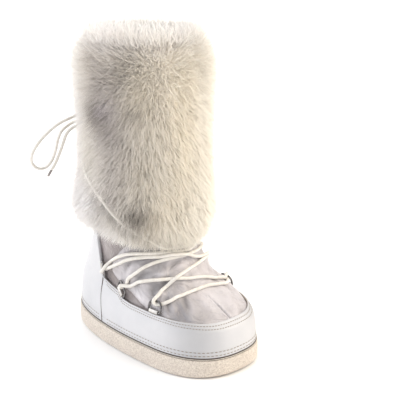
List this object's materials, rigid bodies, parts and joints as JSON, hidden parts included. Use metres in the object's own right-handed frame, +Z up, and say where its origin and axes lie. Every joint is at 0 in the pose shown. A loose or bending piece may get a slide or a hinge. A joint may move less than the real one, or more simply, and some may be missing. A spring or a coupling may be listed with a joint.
{
  "type": "winter boot",
  "caption": "Tall winter boot with a flat crepe sole, leather rand and heel counter, satin vamp laced through rings, and a deep fur shaft.",
  "frame": {"origin": "on the floor under the middle of the sole", "axes": "+Z up the shaft, the toe toward -Y, +X across the boot; -X is the side shown nearest in the picture"},
  "size_m": [0.2148, 0.2808, 0.4076],
  "materials": {
    "crepe": "granular crepe",
    "welt_leather": "cut edge",
    "lining": "plush",
    "satin": "pearly satin",
    "leather": "smooth coated",
    "fur": "deep soft fur",
    "ring_metal": "dark polished",
    "clip_metal": "satin",
    "lace": "round smooth cord",
    "aglet_metal": "dark crimped"
  },
  "bodies": {
    "root": {"outsole": "crepe", "midsole": "welt_leather", "insole": "lining", "upper": "satin", "rand": "leather", "counter": "leather", "fur_sleeve": "fur", "ring_near_front": "ring_metal", "clip_near_front": "clip_metal", "ring_near_middle": "ring_metal", "clip_near_middle": "clip_metal", "ring_near_top": "ring_metal", "clip_near_top": "clip_metal", "ring_far_front": "ring_metal", "clip_far_front": "clip_metal", "ring_far_middle": "ring_metal", "clip_far_middle": "clip_metal", "ring_far_top": "ring_metal", "clip_far_top": "clip_metal", "lace_crossings": "lace", "lace_knot": "lace", "lace_loop_near": "lace", "lace_end_near": "lace", "aglet_near": "aglet_metal", "lace_loop_far": "lace", "lace_end_far": "lace", "aglet_far": "aglet_metal"}
  },
  "joints": []
}
